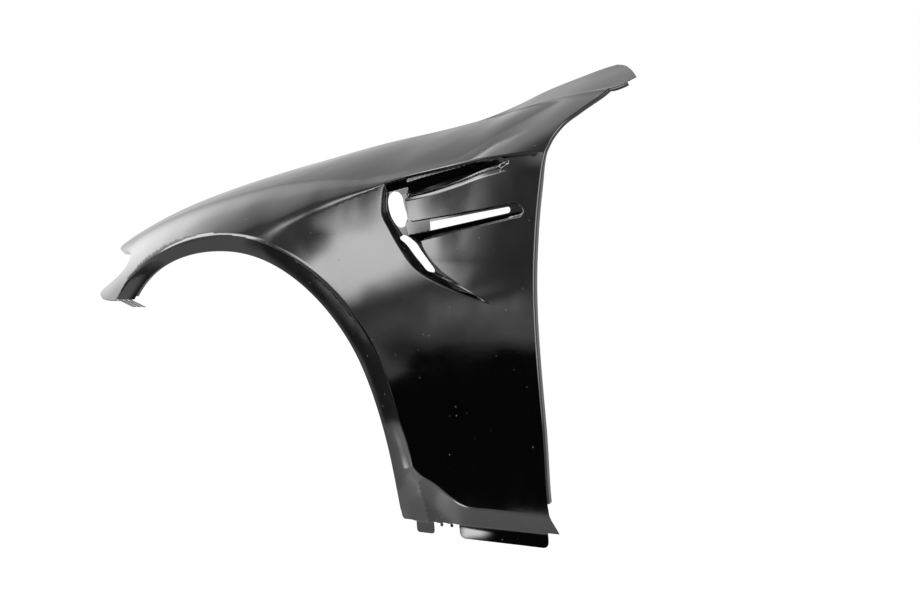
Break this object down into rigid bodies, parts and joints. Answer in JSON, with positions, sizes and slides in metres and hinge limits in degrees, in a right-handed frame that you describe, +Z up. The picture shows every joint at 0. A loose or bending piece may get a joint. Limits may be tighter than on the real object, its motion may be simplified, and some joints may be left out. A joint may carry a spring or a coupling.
{
  "type": "front fender",
  "caption": "Left front car fender panel: one black-coated steel pressing with a flared wheel arch, a vent recess with openings behind the wheel, and folded flanges.",
  "frame": {"origin": "middle of the flat inboard face of the mounting tab under the sill edge, behind the wheel arch", "axes": "+X rearwards along the car, +Y inboard (the outer skin faces -Y), +Z up"},
  "size_m": [1.0996, 0.2377, 0.6722],
  "materials": {
    "black_electrocoat": "semi-gloss black electrocoat primer on pressed steel"
  },
  "bodies": {
    "root": {"fender_panel": "black_electrocoat"}
  },
  "joints": []
}
